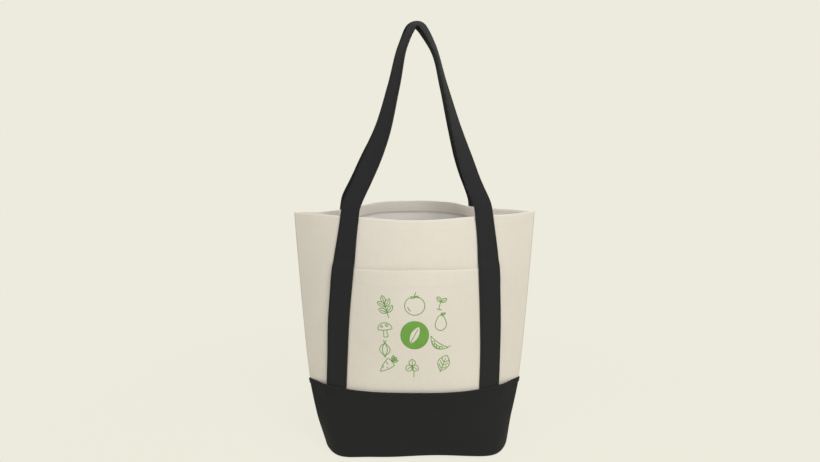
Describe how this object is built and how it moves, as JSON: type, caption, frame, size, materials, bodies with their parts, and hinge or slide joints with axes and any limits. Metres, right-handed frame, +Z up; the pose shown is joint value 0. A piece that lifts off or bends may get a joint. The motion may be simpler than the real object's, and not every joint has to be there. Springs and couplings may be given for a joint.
{
  "type": "canvas tote bag",
  "caption": "Open-top canvas tote bag with a contrasting boxed base, an open front patch pocket and long sewn-on shoulder handles.",
  "frame": {"origin": "middle of the flat bottom, on the surface that the bag stands on", "axes": "+Z up, from the bottom to the handles; +X across the bag's width to the viewer's right when facing the pocket; -Y out of the face with the pocket"},
  "size_m": [0.39, 0.145, 0.7151],
  "materials": {
    "natural_canvas": "matte",
    "black_canvas": "matte",
    "natural_thread": "matte",
    "black_thread": "matte",
    "binding_tape": "matte"
  },
  "bodies": {
    "bag": {"front_panel": "natural_canvas", "back_panel": "natural_canvas", "base_panel": "black_canvas", "front_pocket": "natural_canvas", "front_pocket_thread": "natural_thread", "front_hem_thread": "natural_thread", "back_hem_thread": "natural_thread", "front_base_thread": "black_thread", "back_base_thread": "black_thread", "front_strap_left": "black_canvas", "front_strap_right": "black_canvas", "back_strap_left": "black_canvas", "back_strap_right": "black_canvas", "front_strap_left_thread": "black_thread", "front_strap_right_thread": "black_thread", "back_strap_left_thread": "black_thread", "back_strap_right_thread": "black_thread", "left_side_binding": "binding_tape", "right_side_binding": "binding_tape", "left_gusset_binding": "binding_tape", "right_gusset_binding": "binding_tape"},
    "front_handle": {"front_handle": "black_canvas", "front_handle_inner_thread": "black_thread", "front_handle_outer_thread": "black_thread"},
    "back_handle": {"back_handle": "black_canvas", "back_handle_inner_thread": "black_thread", "back_handle_outer_thread": "black_thread"}
  },
  "joints": [
    {"name": "front_handle_swing", "type": "hinge", "parent": "bag", "child": "front_handle", "pos_m": [0, -0.047, 0.412], "axis": [1, 0, 0], "range_deg": [0, 165]},
    {"name": "back_handle_swing", "type": "hinge", "parent": "bag", "child": "back_handle", "pos_m": [0, 0.047, 0.412], "axis": [-1, 0, 0], "range_deg": [0, 165]}
  ]
}
